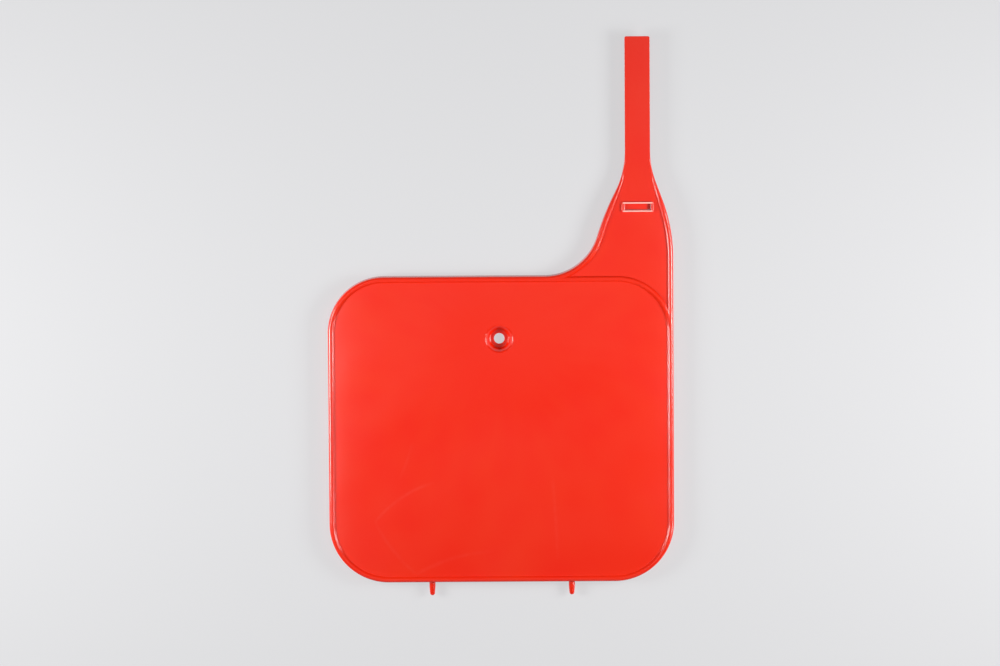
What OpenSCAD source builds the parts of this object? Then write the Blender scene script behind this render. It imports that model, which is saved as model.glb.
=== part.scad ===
/* [Panel] */
// Width of the number panel
panel_w = 235; // [210:1:270]
// Height of the number panel
panel_h = 209; // [180:1:240]
// Radius of the panel's two upper corners
corner_r_top = 38.5; // [30:0.5:50]
// Radius of the panel's two lower corners
corner_r_bottom = 40.5; // [30:0.5:50]
// Thickness of the flat face
face_t = 2.2; // [1.8:0.1:2.8]

/* [Rim and bead] */
// Depth from the flat face back to the rim's rear edge
rim_depth = 8; // [7:0.5:12]
// Thickness of the rim's wall
rim_t = 2; // [1.6:0.1:2.6]
// Slope of the rim's outer wall, in degrees
rim_draft = 2; // [0.5:0.5:4]
// Radius of the round bead that runs along every edge
bead_r = 1.9; // [1.6:0.1:2.4]
// Height of the bead above the flat face
bead_h = 1.4; // [0.9:0.1:1.5]

/* [Bolt dish] */
// Height of the bolt hole above the panel's centre
bolt_rise = 61.7; // [45:0.1:70]
// Distance of the bolt hole from the panel's centre line, away from the arm
bolt_shift = 1; // [0:0.5:3]
// Diameter of the bolt hole, clearance for a 6 mm bolt
bolt_hole_d = 7.2; // [6.4:0.1:7.4]
// Diameter of the dish at the flat face, before its lip is rounded
dish_mouth_d = 17.8; // [15:0.2:24]
// Diameter of the flat floor that the bolt's head sits on
dish_floor_d = 10.6; // [10:0.2:14]
// Thickness of the dish's floor
dish_floor_t = 2.2; // [1.6:0.1:3]
// Thickness of the dish's wall
dish_wall_t = 2; // [1.5:0.1:2.5]
// Radius of the dish's rounded lip
dish_lip_r = 1.8; // [0.8:0.1:2.2]
// Radius of the curve round the dish's floor
dish_toe_r = 0.8; // [0.4:0.1:1]

/* [Pegs] */
// Distance between the two locating pegs
peg_spacing = 95; // [70:1:120]
// Length of a peg below the panel's bottom edge
peg_l = 9.2; // [7.5:0.1:14]
// Diameter of a peg's straight root
peg_d = 4.2; // [3.4:0.1:5]
// Distance from the panel's edge to the end of the peg's straight root
peg_straight = 3; // [2.5:0.1:4]
// Width and length of the flare where a peg meets the rim
peg_flare = 0.4; // [0.2:0.1:0.8]
// Diameter of a peg at its rounded tip
peg_tip_d = 3.4; // [2.6:0.1:3.4]
// Length of the rib that stiffens each peg behind the face
peg_rib_l = 15; // [8:0.5:22]
// Thickness of that rib
peg_rib_t = 2; // [1.6:0.1:2.6]

/* [Arm] */
// Radius of the wide sweep from the panel's top edge into the arm
sweep_r = 37; // [30:1:42]
// Lean of the arm's left edge at the end of the sweep, in degrees
left_lean_low = 17; // [14:0.2:20]
// Lean of the arm's left edge where it turns into the strap, in degrees
left_lean_high = 27; // [25:0.2:30]
// Radius of the slight outward bow of the left edge
left_bow_r = 190; // [170:5:240]
// Height above the panel's top edge at which the right edge starts to lean
right_rise = 12; // [6:0.5:16]
// Lean of the arm's right edge above its bow, in degrees
right_lean = 20.5; // [18:0.5:24]
// Radius of the bow of the right edge
right_bow_r = 112; // [100:1:130]
// Radius of the curves from the arm into both sides of the strap
root_r = 60; // [50:1:66]
// Height above the panel's top edge at which the rim starts to get shallower
taper_rise = 20; // [12:1:30]
// Length over which the bead on the arm runs out
bead_fade_l = 32; // [20:1:40]
// Distance from the bead's end to the foot of the strap
bead_stop = 10; // [6:0.5:16]
// Radius of the arm's front edge where the bead has run out
faded_edge_r = 0.7; // [0.6:0.1:1]

/* [Strap] */
// Width of the strap
strap_w = 17; // [15:0.5:19]
// Thickness of the strap
strap_t = 2; // [1.6:0.1:2.1]
// Distance of the strap's centre line from the panel's right side
strap_inset = 24.2; // [22.5:0.1:26]
// Reach of the strap's end above the panel's top edge
strap_reach = 162; // [140:0.5:190]
// Radius of the two corners at the strap's end
strap_end_r = 1.2; // [0.6:0.1:3]
// Radius of the strap's two front edges
strap_edge_r = 0.4; // [0.2:0.1:0.7]
// Distance from one locking tooth to the next
tooth_pitch = 4.1; // [3:0.1:5]
// Number of locking teeth on the strap's back
tooth_count = 11; // [6:1:14]
// Height of a tooth
tooth_h = 0.8; // [0.4:0.1:1]
// Width of a tooth's flat crest
tooth_crest = 0.6; // [0.4:0.1:1]
// Plain length between the strap's end and its first tooth
tooth_start = 2.2; // [1.5:0.1:5]

/* [Buckle] */
// Height of the slot's centre above the panel's top edge
slot_rise = 46.5; // [40:0.5:50]
// Clear height of the slot
slot_h = 4; // [3.6:0.1:4.6]
// Clearance of the strap in the slot, on each side
slot_gap = 0.3; // [0.2:0.05:0.6]
// Width of the frame's two side bars
frame_side = 2.2; // [1.8:0.1:2.8]
// Width of the frame's upper and lower bars
frame_bar = 1.65; // [1.4:0.05:2]
// Height of the frame above the flat face
frame_h = 1.2; // [0.8:0.1:1.6]
// Radius of the rounded edges of the frame
frame_edge_r = 0.7; // [0.3:0.05:0.7]
// Height of the collar round the slot behind the arm
collar_h = 1.4; // [1:0.1:2]
// Thickness of the locking tongue in the slot
tongue_t = 1; // [0.8:0.1:1.2]
// Gap between the tongue and the slot's side and lower walls
tongue_gap = 0.5; // [0.4:0.05:0.7]
// Drop of the tongue's tip below the front of the frame
tongue_drop = 1.6; // [1.2:0.1:2]
// Rise of the tongue from its root to its tip
tongue_rise = 1.5; // [0.8:0.1:2]

/* [Hidden] */
$fn = 64;
plastic = "#f8392a";

// The board lies on its rim, with the flat face up: heights count from the rim's rear edge
face_z = rim_depth;
back_z = face_z - face_t;
strap_back_z = face_z - strap_t;
bead_z = face_z + bead_h - bead_r;
crest_z = face_z + bead_h;

// The panel's centre is the origin of the plan until the last move
side_x = panel_w / 2;
top_y = panel_h / 2;
strap_x = side_x - strap_inset;
slot_y = top_y + slot_rise;
end_y = top_y + strap_reach;

// Overlaps of pieces of the same moulding, and how deep the ends of the arm's edges are buried
lap = 0.5;
over = 1;
bury = 0.4;
ease = 0.02;

// Facets round the bead of the arm's edges, and the distance from one section of an edge to the next
bead_steps = 12;
section_gap = 3;

// Distance inward from the rim's rear edge, at a height
function draft_in(z) = z * tan(rim_draft);
bead_in = bead_r + draft_in(bead_z);
foot_in = bead_in + bead_r + lap;
web_in = rim_t / 2;

// Ends of the arm's two edges at the strap, at the height where the wall turns into the bead
left_end_x = strap_x - strap_w / 2 - draft_in(bead_z);
right_end_x = strap_x + strap_w / 2 + draft_in(bead_z);

function polar(r, a) = [r * cos(a), r * sin(a)];

// Left edge: sweep, bow and root, each arc's centre in turn
sweep_c = [
    left_end_x - sweep_r * cos(left_lean_low)
        - left_bow_r * (cos(left_lean_low) - cos(left_lean_high))
        - root_r * (1 - cos(left_lean_high)),
    top_y + sweep_r
];
left_bow_c = sweep_c + polar(sweep_r + left_bow_r, -left_lean_low);
left_root_c = left_bow_c + polar(left_bow_r + root_r, 180 - left_lean_high);

// Right edge: bow, straight and root
right_bow_c = [side_x - right_bow_r, top_y + right_rise];
right_line = (side_x - right_end_x - (right_bow_r + root_r) * (1 - cos(right_lean))) / sin(right_lean);
right_line_top = right_bow_c + polar(right_bow_r, right_lean) + polar(right_line, 90 + right_lean);
right_root_c = right_line_top + polar(root_r, right_lean);

// Foot of the strap, where the left edge has become upright
foot_y = left_root_c[1];
head_y = max(foot_y, right_root_c[1]);

// Section of the panel's edge: sloped wall, flat web and a round bead on the front
module edge_section() {
    polygon([
        [0, 0],
        [-rim_t, 0],
        [-rim_t, back_z],
        [-foot_in, back_z],
        [-foot_in, face_z],
        [-bead_in, face_z],
        [-bead_in, bead_z + bead_r / 2],
        [-draft_in(bead_z), bead_z]
    ]);
    intersection() {
        translate([-bead_in, bead_z]) circle(r = bead_r);
        translate([-bead_in - bead_r, bead_z]) square([2 * bead_r, bead_r]);
    }
}

// Edge along a straight line down from the origin, with the outside towards +X
module edge_straight(length) {
    rotate([90, 0, 0]) linear_extrude(length) edge_section();
}

// Edge round an arc whose centre is inside the board
module edge_convex(r, from, sweep) {
    rotate([0, 0, from]) rotate_extrude(angle = sweep) translate([r, 0]) edge_section();
}

// One section of an arm's edge, in space: p is its place in the plan and n points into the board,
// e draws the whole section in, and f is the share of the bead's height that has run out
function edge_ring(p, n, e, f) =
    let (
        r = bead_r + f * (faded_edge_r - bead_r) - e,
        z = crest_z - f * (bead_h + ease) - e - r,
        u = r + e + draft_in(z),
        hidden_z = back_z + face_t / 2,
        section = concat(
            [for (i = [0 : bead_steps]) [u, z] + polar(r, 180 - 180 * i / bead_steps)],
            [[u + r / 2, hidden_z], [rim_t - e, hidden_z], [rim_t - e, e], [e, e]]
        )
    )
    [for (v = section) [p[0] + n[0] * v[0], p[1] + n[1] * v[0], v[1]]];

// Share of the bead's height that has run out at a place along the arm
function bead_fade(y) =
    let (t = min(1, max(0, (y - foot_y + bead_stop) / bead_fade_l + 1)))
    t * t * (3 - 2 * t);

// An edge drawn through places [p, n], whose two ends are buried in what they run into
module edge_along(path) {
    last = len(path) - 1;
    count = bead_steps + 5;
    rings = [for (i = [0 : last]) edge_ring(
        path[i][0],
        path[i][1],
        i == 0 || i == last ? bury : i == 1 || i == last - 1 ? ease : 0,
        bead_fade(path[i][0][1])
    )];
    polyhedron(
        points = [for (ring = rings) each ring],
        faces = concat(
            [[for (j = [0 : count - 1]) j]],
            [for (i = [0 : last - 1], j = [0 : count - 1]) let (k = (j + 1) % count)
                [i * count + j, (i + 1) * count + k, i * count + k]],
            [for (i = [0 : last - 1], j = [0 : count - 1]) let (k = (j + 1) % count)
                [i * count + j, (i + 1) * count + j, (i + 1) * count + k]],
            [[for (j = [count - 1 : -1 : 0]) last * count + j]]
        )
    );
}

// Flat rectangle with a radius for the upper and for the lower corners
module rounded_plan(w, h, r_top, r_bottom) {
    for (side = [-1, 1]) {
        translate([side * (w / 2 - r_top), h / 2 - r_top]) circle(r = r_top);
        translate([side * (w / 2 - r_bottom), r_bottom - h / 2]) circle(r = r_bottom);
    }
    translate([r_top - w / 2, 0]) square([w - 2 * r_top, h / 2]);
    translate([r_bottom - w / 2, -h / 2]) square([w - 2 * r_bottom, h / 2]);
    translate([-w / 2, r_bottom - h / 2]) square([w, h - r_top - r_bottom]);
}

// Rim and bead all round the panel
module panel_rim() {
    upper = top_y - corner_r_top;
    lower = top_y - corner_r_bottom;
    for (flip = [0, 1]) mirror([flip, 0, 0]) {
        translate([side_x, upper, 0]) edge_straight(upper + lower);
        translate([side_x - corner_r_top, upper, 0]) edge_convex(corner_r_top, 0, 90);
        translate([side_x - corner_r_bottom, -lower, 0]) edge_convex(corner_r_bottom, -90, 90);
    }
    translate([corner_r_top - side_x, top_y, 0]) rotate([0, 0, 90]) edge_straight(panel_w - 2 * corner_r_top);
    translate([side_x - corner_r_bottom, -top_y, 0]) rotate([0, 0, -90])
        edge_straight(panel_w - 2 * corner_r_bottom);
}

module panel_face() {
    translate([0, 0, back_z]) linear_extrude(face_t)
        rounded_plan(panel_w - 2 * web_in, panel_h - 2 * web_in, corner_r_top - web_in, corner_r_bottom - web_in);
}

function arc_points(c, r, from, to, n) = [for (i = [0 : n]) c + polar(r, from + (to - from) * i / n)];

// Flat of the arm, which ends inside the walls of its edges
module arm_face() {
    steps = 12;
    translate([0, 0, back_z]) linear_extrude(face_t) polygon(concat(
        arc_points(sweep_c, sweep_r + web_in, -90, -left_lean_low, steps),
        arc_points(left_bow_c, left_bow_r - web_in, 180 - left_lean_low, 180 - left_lean_high, steps),
        arc_points(left_root_c, root_r + web_in, -left_lean_high, 0, steps),
        arc_points(right_root_c, root_r + web_in, 180, 180 + right_lean, steps),
        arc_points(right_bow_c, right_bow_r - web_in, right_lean, 0, steps),
        [[side_x - web_in, top_y - corner_r_top]]
    ));
}

// Places along an arc, with the way into the board: in is 1 where the arc's centre is outside the board
function arc_path(c, r, from, to, in) =
    let (n = ceil(PI * r * abs(to - from) / 180 / section_gap))
    [for (i = [0 : n]) let (a = from + (to - from) * i / n) [c + polar(r, a), in * polar(1, a)]];

// Both edges of the arm: sweep, bow and root on the left; root, bow and side on the right
module arm_edges() {
    edge_along(concat(
        arc_path(sweep_c, sweep_r, -90, -left_lean_low, 1),
        arc_path(left_bow_c, left_bow_r, 180 - left_lean_low, 180 - left_lean_high, -1),
        arc_path(left_root_c, root_r, -left_lean_high, 0, 1)
    ));
    edge_along(concat(
        arc_path(right_root_c, root_r, 180, 180 + right_lean, 1),
        arc_path(right_bow_c, right_bow_r, right_lean, 0, -1),
        [[right_bow_c + [right_bow_r, -over], [-1, 0]]]
    ));
    translate([side_x, right_bow_c[1], 0]) edge_straight(right_rise + corner_r_top);
}

// A shape drawn in the upright plane of Y and Z, drawn out along X
module across(x, width) {
    translate([x, 0, 0]) rotate([90, 0, 90]) linear_extrude(width) children();
}

// What is cut from the arm, so that its rim gets shallower towards the strap
module arm_taper() {
    past = head_y + over;
    across(0, side_x + over) polygon([
        [top_y + taper_rise, -over],
        [top_y + taper_rise, 0],
        [foot_y, strap_back_z],
        [past, strap_back_z],
        [past, -over]
    ]);
}

module arm() {
    difference() {
        union() {
            arm_edges();
            arm_face();
        }
        arm_taper();
    }
}

// Section of the strap, with its front edges rounded
module strap_section() {
    half = strap_w / 2;
    translate([-half, 0]) square([strap_w, strap_t - strap_edge_r]);
    translate([strap_edge_r - half, 0]) square([strap_w - 2 * strap_edge_r, strap_t]);
    for (side = [-1, 1]) translate([side * (half - strap_edge_r), strap_t - strap_edge_r]) circle(r = strap_edge_r);
}

module strap_plan(length) {
    half = strap_w / 2;
    translate([-half, 0]) square([strap_w, length - strap_end_r]);
    translate([strap_end_r - half, 0]) square([strap_w - 2 * strap_end_r, length]);
    for (side = [-1, 1]) translate([side * (half - strap_end_r), length - strap_end_r]) circle(r = strap_end_r);
}

module strap() {
    start_y = foot_y - bead_stop;
    length = end_y - start_y;
    translate([strap_x, start_y, strap_back_z]) intersection() {
        rotate([90, 0, 0]) translate([0, 0, -length]) linear_extrude(length) strap_section();
        linear_extrude(strap_t) strap_plan(length);
    }
}

// Saw teeth on the strap's back, steep towards the arm so that the tongue can hold them
module strap_teeth() {
    first = end_y - tooth_start - tooth_count * tooth_pitch;
    crest = strap_back_z - tooth_h;
    across(strap_x - strap_w / 2 + strap_edge_r, strap_w - 2 * strap_edge_r) polygon(concat(
        [for (i = [0 : tooth_count - 1]) each [
            [first + i * tooth_pitch, strap_back_z],
            [first + i * tooth_pitch, crest],
            [first + i * tooth_pitch + tooth_crest, crest]
        ]],
        [
            [end_y - tooth_start, strap_back_z],
            [end_y - tooth_start, strap_back_z + lap],
            [first, strap_back_z + lap]
        ]
    ));
}

// Upright section of the frame: a block of a given width with rounded shoulders
module shoulder_section(w, bottom, top) {
    translate([-w / 2, bottom]) square([w, top - bottom - frame_edge_r]);
    translate([frame_edge_r - w / 2, bottom]) square([w - 2 * frame_edge_r, top - bottom]);
    for (side = [-1, 1]) translate([side * (w / 2 - frame_edge_r), top - frame_edge_r]) circle(r = frame_edge_r);
}

// Upright section of the slot: straight walls that flare round the frame's inner edges
module mouth_section(w, bottom, top) {
    flare = frame_edge_r;
    difference() {
        union() {
            translate([-w / 2, bottom]) square([w, top + over - bottom]);
            translate([-w / 2 - flare, top - flare]) square([w + 2 * flare, flare + over]);
        }
        for (side = [-1, 1]) translate([side * (w / 2 + flare), top - flare]) circle(r = flare);
    }
}

slot_w = strap_w + 2 * slot_gap;
frame_z = face_z + frame_h;
collar_z = back_z - collar_h;

// Block of the buckle: the frame in front of the arm and the collar behind it
module buckle_block() {
    w = slot_w + 2 * frame_side;
    h = slot_h + 2 * frame_bar;
    translate([strap_x, slot_y, 0]) intersection() {
        rotate([90, 0, 0]) translate([0, 0, -h / 2]) linear_extrude(h) shoulder_section(w, collar_z, frame_z);
        across(-w / 2, w) shoulder_section(h, collar_z, frame_z);
    }
}

module buckle_slot() {
    long = slot_w + 4 * over;
    tall = slot_h + 4 * over;
    translate([strap_x, slot_y, 0]) intersection() {
        rotate([90, 0, 0]) translate([0, 0, -tall / 2]) linear_extrude(tall)
            mouth_section(slot_w, collar_z - over, frame_z);
        across(-long / 2, long) mouth_section(slot_h, collar_z - over, frame_z);
    }
}

// Springy tongue, rooted in the slot's upper wall, whose tip leans forward and holds the teeth
module buckle_tongue() {
    tip_z = frame_z - tongue_drop;
    root_z = tip_z - tongue_rise;
    root_y = slot_y + slot_h / 2;
    tip_y = slot_y - slot_h / 2 + tongue_gap;
    across(strap_x - slot_w / 2 + tongue_gap, slot_w - 2 * tongue_gap) polygon([
        [root_y + lap, root_z],
        [root_y, root_z],
        [tip_y, tip_z],
        [tip_y, tip_z - tongue_t],
        [root_y, root_z - tongue_t],
        [root_y + lap, root_z - tongue_t]
    ]);
}

// Place of the bolt hole and its dish in the plan
module at_bolt() {
    translate([-bolt_shift, bolt_rise, 0]) children();
}

// Outline of the dish from its axis to past the rounded lip
dish_slope = atan((dish_mouth_d - dish_floor_d) / 2 / (rim_depth - dish_floor_t));
module dish_hollow() {
    steps = 8;
    lean = 90 - dish_slope;
    lip = [dish_mouth_d / 2 + dish_lip_r * tan(lean / 2), face_z - dish_lip_r];
    toe = [dish_floor_d / 2 - dish_toe_r * tan(lean / 2), dish_floor_t + dish_toe_r];
    rotate_extrude() polygon(concat(
        [[0, dish_floor_t]],
        arc_points(toe, dish_toe_r, -90, -dish_slope, steps),
        arc_points(lip, dish_lip_r, 180 - dish_slope, 90, steps),
        [[lip[0], face_z + over], [0, face_z + over]]
    ));
}

// Cone of the dish behind the face, which ends level with the rim's rear edge
module dish_boss() {
    wall = dish_wall_t / cos(dish_slope);
    floor_r = dish_floor_d / 2 + wall - dish_floor_t * tan(dish_slope);
    height = back_z + lap;
    cylinder(h = height, r1 = floor_r, r2 = floor_r + height * tan(dish_slope));
}

module bolt_hole() {
    translate([0, 0, -over]) cylinder(h = dish_floor_t + 2 * over, d = bolt_hole_d);
}

// Locating peg at half the rim's depth: flare, straight root, taper and round tip
module peg() {
    tip_r = peg_tip_d / 2;
    taper_l = peg_l - peg_straight - tip_r;
    sunk = draft_in(rim_depth);
    translate([0, -top_y, rim_depth / 2]) rotate([90, 0, 0]) {
        translate([0, 0, -web_in]) cylinder(h = web_in + peg_straight, d = peg_d);
        translate([0, 0, -sunk])
            cylinder(h = sunk + peg_flare, r1 = peg_d / 2 + peg_flare + sunk, r2 = peg_d / 2);
        translate([0, 0, peg_straight]) cylinder(h = taper_l, d1 = peg_d, d2 = peg_tip_d);
        translate([0, 0, peg_straight + taper_l]) sphere(r = tip_r);
    }
}

// Three-cornered rib behind the face that carries a peg's load
module peg_rib() {
    wall_y = web_in - top_y;
    low_z = (rim_depth - peg_d) / 2;
    across(-peg_rib_t / 2, peg_rib_t) polygon([
        [wall_y, low_z],
        [wall_y, back_z + lap],
        [wall_y + peg_rib_l, back_z + lap],
        [wall_y + peg_rib_l, back_z]
    ]);
}

// The whole board, moulded in one piece
module number_board() {
    color(plastic) translate([0, (peg_l - strap_reach) / 2, 0]) {
        difference() {
            union() {
                panel_rim();
                panel_face();
                arm();
                strap();
                strap_teeth();
                at_bolt() dish_boss();
                buckle_block();
                for (side = [-1, 1]) translate([side * peg_spacing / 2, 0, 0]) {
                    peg();
                    peg_rib();
                }
            }
            at_bolt() dish_hollow();
            at_bolt() bolt_hole();
            buckle_slot();
        }
        buckle_tongue();
    }
}

number_board();
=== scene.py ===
"""Racing number board, dressed for its picture: one glossy red moulding on a pale floor."""

import logging
import math
from dataclasses import dataclass, field
from enum import Enum
from typing import Callable, Iterable, Sequence

import bmesh
import bpy
from mathutils import Matrix, Vector


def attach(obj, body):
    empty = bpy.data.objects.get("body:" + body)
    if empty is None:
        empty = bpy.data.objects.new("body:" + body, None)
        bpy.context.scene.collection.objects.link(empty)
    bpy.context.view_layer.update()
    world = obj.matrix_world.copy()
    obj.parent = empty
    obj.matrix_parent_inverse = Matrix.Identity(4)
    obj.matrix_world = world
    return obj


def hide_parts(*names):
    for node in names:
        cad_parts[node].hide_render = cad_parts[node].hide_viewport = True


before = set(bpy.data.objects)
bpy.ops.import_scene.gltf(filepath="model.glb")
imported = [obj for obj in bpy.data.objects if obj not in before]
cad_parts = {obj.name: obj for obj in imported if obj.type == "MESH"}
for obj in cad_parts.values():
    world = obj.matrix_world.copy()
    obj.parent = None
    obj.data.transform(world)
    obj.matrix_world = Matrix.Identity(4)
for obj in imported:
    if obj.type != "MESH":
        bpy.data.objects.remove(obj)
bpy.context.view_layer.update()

log = logging.getLogger("number_board")

MM = 0.001

# Distance under which two points of a mesh are one, in millimetres
MERGE_GAP = 1e-4

# Steps round a turned body, and the bearings across a small rounded corner in degrees
TURN_STEPS = 96
QUARTER_TURN = range(0, 91, 15)

# The sRGB curve
SRGB_TOE = 0.04045
SRGB_SLOPE = 12.92
SRGB_OFFSET = 0.055
SRGB_POWER = 2.4

Point = tuple[float, float, float]
Plan = tuple[float, float]
Span = tuple[float, float]
EdgePath = list[tuple[Plan, Plan]]

# The corners of an upright rectangle: bearing at which each one's arc starts, and its side along X and Y
CORNERS = ((0, 1, 1), (90, -1, 1), (180, -1, -1), (270, 1, -1))


class Change(Enum):
    """How one closed body changes another."""

    JOIN = "UNION"
    CUT = "DIFFERENCE"


class Way(Enum):
    """Which side of an arc the board lies on."""

    OUT = 1
    IN = -1


def linear(hex_colour: str) -> tuple[float, float, float, float]:
    """Turn an sRGB hex value into the linear colour that a shader takes.

    Args:
        hex_colour: Six hex digits, with or without a leading hash.

    Returns:
        Linear red, green, blue and an alpha of 1.
    """
    digits = hex_colour.lstrip("#")
    parts = [int(digits[i : i + 2], 16) / 255 for i in (0, 2, 4)]
    turned = [
        c / SRGB_SLOPE if c <= SRGB_TOE else ((c + SRGB_OFFSET) / (1 + SRGB_OFFSET)) ** SRGB_POWER
        for c in parts
    ]
    return (turned[0], turned[1], turned[2], 1.0)


def polar(centre: Plan, radius: float, degrees: float) -> Plan:
    """Place in the plan at a distance and a bearing from a centre."""
    turn = math.radians(degrees)
    return (centre[0] + radius * math.cos(turn), centre[1] + radius * math.sin(turn))


def smooth_share(low: float, high: float, value: float) -> float:
    """Share from 0 to 1 of the way from low to high, easing in and out."""
    t = min(1.0, max(0.0, (value - low) / (high - low)))
    return t * t * (3 - 2 * t)


# Ways to make and change a mesh, in millimetres


def choose_only(obj: bpy.types.Object) -> None:
    """Make one object the only selected one, and the active one."""
    bpy.ops.object.select_all(action="DESELECT")
    obj.select_set(True)
    bpy.context.view_layer.objects.active = obj


def start_piece(name: str) -> bpy.types.Object:
    """Name the primitive that was just added and make it the only selected object.

    Args:
        name: Name of the piece.

    Returns:
        The new object.
    """
    obj = bpy.context.active_object
    obj.name = name
    obj.data.name = name
    choose_only(obj)
    return obj


def mend(obj: bpy.types.Object) -> None:
    """Merge doubled points, close the ends and turn the faces outwards.

    Args:
        obj: The mesh, in millimetres.
    """
    choose_only(obj)
    bpy.ops.object.mode_set(mode="EDIT")
    bpy.ops.mesh.select_all(action="SELECT")
    bpy.ops.mesh.remove_doubles(threshold=MERGE_GAP)
    bpy.ops.mesh.select_all(action="DESELECT")
    bpy.ops.mesh.select_mode(type="EDGE")
    bpy.ops.mesh.select_non_manifold()
    bpy.ops.mesh.fill_holes(sides=0)
    bpy.ops.mesh.select_all(action="SELECT")
    bpy.ops.mesh.normals_make_consistent(inside=False)
    bpy.ops.object.mode_set(mode="OBJECT")


def loft(name: str, rings: Sequence[Sequence[Point]]) -> bpy.types.Object:
    """Draw a closed skin through rings of equal count, and close it at both ends.

    Args:
        name: Name of the piece.
        rings: The rings in order, each a closed loop of points in millimetres.

    Returns:
        The closed mesh.
    """
    count = len(rings[0])
    bpy.ops.object.select_all(action="DESELECT")
    bpy.ops.mesh.primitive_grid_add(x_subdivisions=count, y_subdivisions=len(rings) - 1, size=1)
    obj = start_piece(name)
    flat = [p for ring in rings for p in (*ring, ring[0])]
    for vertex, place in zip(obj.data.vertices, flat, strict=True):
        vertex.co = place
    mend(obj)
    return obj


def prism(name: str, outline: Sequence[Plan], low: float, high: float) -> bpy.types.Object:
    """Upright prism over a flat outline.

    Args:
        name: Name of the piece.
        outline: Corners in the plan.
        low: Height of the bottom.
        high: Height of the top.

    Returns:
        The closed mesh.
    """
    return loft(name, [[(x, y, z) for x, y in outline] for z in (low, high)])


def lathe(name: str, centre: Plan, profile: Sequence[Plan]) -> bpy.types.Object:
    """Turned body about an upright axis, whose profile starts and ends off the axis.

    Args:
        name: Name of the piece.
        centre: Axis in the plan.
        profile: Radius and height, in order.

    Returns:
        The closed mesh.
    """
    rings = [
        [(*polar(centre, radius, 360 * i / TURN_STEPS), height) for i in range(TURN_STEPS)]
        for radius, height in profile
    ]
    return loft(name, rings)


def round_edges(
    obj: bpy.types.Object, radius: float, steps: int, wanted: Callable[[Vector, Vector], bool]
) -> None:
    """Round the edges of a mesh that a test picks.

    Args:
        obj: The mesh, in millimetres.
        radius: Radius of the rounding.
        steps: Number of faces across it.
        wanted: Test on an edge's two ends.
    """
    choose_only(obj)
    bpy.ops.object.mode_set(mode="EDIT")
    bpy.ops.mesh.select_mode(type="EDGE")
    bpy.ops.mesh.select_all(action="DESELECT")
    shape = bmesh.from_edit_mesh(obj.data)
    for edge in shape.edges:
        edge.select_set(wanted(edge.verts[0].co, edge.verts[1].co))
    bmesh.update_edit_mesh(obj.data)
    bpy.ops.mesh.bevel(offset=radius, segments=steps, affect="EDGES", clamp_overlap=True)
    bpy.ops.object.mode_set(mode="OBJECT")


def combine(body: bpy.types.Object, tool: bpy.types.Object, how: Change) -> None:
    """Join a closed body to another or cut it out, and clear the second one away.

    Args:
        body: The mesh that stays.
        tool: The mesh that is joined or cut out, which is then deleted.
        how: Join or cut.
    """
    choose_only(body)
    step = body.modifiers.new("combine", "BOOLEAN")
    step.operation = how.value
    step.solver = "EXACT"
    step.object = tool
    bpy.ops.object.modifier_apply(modifier=step.name)
    bpy.data.objects.remove(tool, do_unlink=True)


# The board's forms


@dataclass
class Panel:
    """The number panel: flat face, shallow rim and the bead that runs round it."""

    width: float = 235.0
    height: float = 209.0
    corner_top: float = 38.5
    corner_bottom: float = 40.5
    face: float = 8.0
    thickness: float = 2.2
    wall: float = 2.0
    draft: float = 2.0
    bead_radius: float = 1.9
    bead_height: float = 1.4
    foot_radius: float = 0.8

    # Radius of the rounded rear edges, and where a round's middle lies as a share of it
    rear_edge: float = 0.35
    edge_bulge: float = 0.3

    # Small curve between the wall and the face's rear: distances from their corner
    inner_corner: tuple[Plan, ...] = ((1.0, 0.0), (0.3, 0.09), (0.09, 0.3), (0.0, 1.0))

    arc_steps: int = 40
    bead_steps: int = 18
    foot_steps: int = 5

    @property
    def side(self) -> float:
        """Half the width."""
        return self.width / 2

    @property
    def top(self) -> float:
        """Half the height."""
        return self.height / 2

    @property
    def back(self) -> float:
        """Height of the face's rear."""
        return self.face - self.thickness

    @property
    def crest(self) -> float:
        """Height of the bead's crest."""
        return self.face + self.bead_height

    def lean(self, height: float) -> float:
        """Distance that the sloped wall has moved in at a height."""
        return height * math.tan(math.radians(self.draft))

    def outline(self, inward: float) -> list[Plan]:
        """Rounded outline of the panel, moved inward.

        Args:
            inward: Distance from the rim's rear edge.

        Returns:
            Places in the plan, anticlockwise.
        """
        places: list[Plan] = []
        for start, sx, sy in CORNERS:
            radius = self.corner_top if sy > 0 else self.corner_bottom
            centre = (sx * (self.side - radius), sy * (self.top - radius))
            for i in range(self.arc_steps + 1):
                places.append(polar(centre, radius - inward, start + 90 * i / self.arc_steps))
        return places

    def section(self) -> list[Plan]:
        """Section of rim and bead, from the back round to the face.

        Returns:
            Pairs of distance inward and height.
        """
        middle = self.crest - self.bead_radius
        centre = self.lean(middle) + self.bead_radius
        apart, above = self.bead_radius + self.foot_radius, self.face + self.foot_radius - middle
        foot = math.degrees(math.asin(above / apart))
        foot_centre = (centre + math.sqrt(apart**2 - above**2), middle + above)
        edge = self.rear_edge
        bulge = edge * self.edge_bulge
        rear = [(self.wall + u, self.back - v) for u, v in self.inner_corner]
        rear += [
            (self.wall, edge),
            (self.wall - bulge, bulge),
            (self.wall - edge, 0.0),
            (edge, 0.0),
            (bulge, bulge),
            (self.lean(edge), edge),
        ]
        turn = [180 - (180 - foot) * i / self.bead_steps for i in range(self.bead_steps + 1)]
        bead = [polar((centre, middle), self.bead_radius, a) for a in turn]
        blend = [
            polar(foot_centre, self.foot_radius, 180 + foot + (90 - foot) * i / self.foot_steps)
            for i in range(1, self.foot_steps + 1)
        ]
        return rear + bead + blend

    def build(self) -> bpy.types.Object:
        """Tray of the panel: rear face, wall, bead and front face in one closed skin."""
        rings = [
            [(x, y, height) for x, y in self.outline(inward)] for inward, height in self.section()
        ]
        return loft("number_board_shell", rings)


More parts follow.
